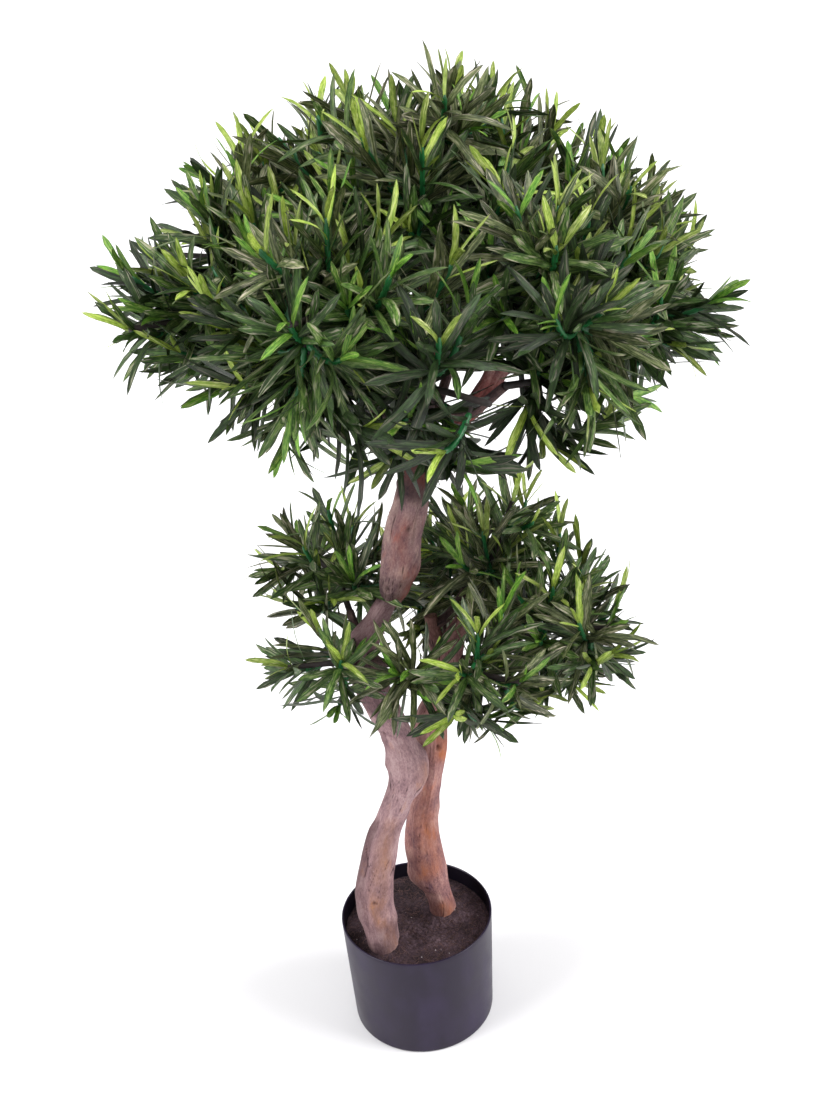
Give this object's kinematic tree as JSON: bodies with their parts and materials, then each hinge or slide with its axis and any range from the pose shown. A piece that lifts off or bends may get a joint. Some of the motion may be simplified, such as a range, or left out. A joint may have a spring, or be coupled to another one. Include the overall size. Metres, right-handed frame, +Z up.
{
  "type": "artificial podocarpus tree",
  "caption": "Artificial podocarpus with two crossing wooden stems, a low crown and a broad top crown of strap leaves, standing in a plain round dark pot.",
  "frame": {"origin": "centre of the pot's flat underside, on the floor", "axes": "+Z up the tree, -Y towards its front, +X to the right seen from the front"},
  "size_m": [0.5496, 0.5691, 1.0439],
  "materials": {
    "pot_plastic": "satin",
    "soil_cover": "matte",
    "bark": "matte",
    "foliage": "satin"
  },
  "bodies": {
    "root": {"bough_low_back": "bark", "bough_low_centre": "bark", "bough_low_front": "bark", "bough_low_left_back": "bark", "bough_low_left_front": "bark", "bough_low_middle": "bark", "bough_low_right": "bark", "bough_shoulder_1": "bark", "bough_shoulder_2": "bark", "bough_shoulder_3": "bark", "bough_shoulder_4": "bark", "bough_shoulder_5": "bark", "bough_shoulder_6": "bark", "bough_skirt_1": "bark", "bough_skirt_2": "bark", "bough_skirt_3": "bark", "bough_skirt_4": "bark", "bough_skirt_5": "bark", "bough_skirt_6": "bark", "bough_skirt_7": "bark", "bough_skirt_8": "bark", "bough_skirt_9": "bark", "foliage_low_back": "foliage", "foliage_low_centre": "foliage", "foliage_low_front": "foliage", "foliage_low_left_back": "foliage", "foliage_low_left_front": "foliage", "foliage_low_middle": "foliage", "foliage_low_right": "foliage", "foliage_shoulder_1": "foliage", "foliage_shoulder_2": "foliage", "foliage_shoulder_3": "foliage", "foliage_shoulder_4": "foliage", "foliage_shoulder_5": "foliage", "foliage_shoulder_6": "foliage", "foliage_skirt_1": "foliage", "foliage_skirt_2": "foliage", "foliage_skirt_3": "foliage", "foliage_skirt_4": "foliage", "foliage_skirt_5": "foliage", "foliage_skirt_6": "foliage", "foliage_skirt_7": "foliage", "foliage_skirt_8": "foliage", "foliage_skirt_9": "foliage", "foliage_top": "foliage", "pot": "pot_plastic", "soil": "soil_cover", "stem_left": "bark", "stem_right": "bark", "stem_right_fork": "bark", "trunk_leader": "bark", "trunk_right_limb": "bark", "trunk_upper": "bark"}
  },
  "joints": []
}
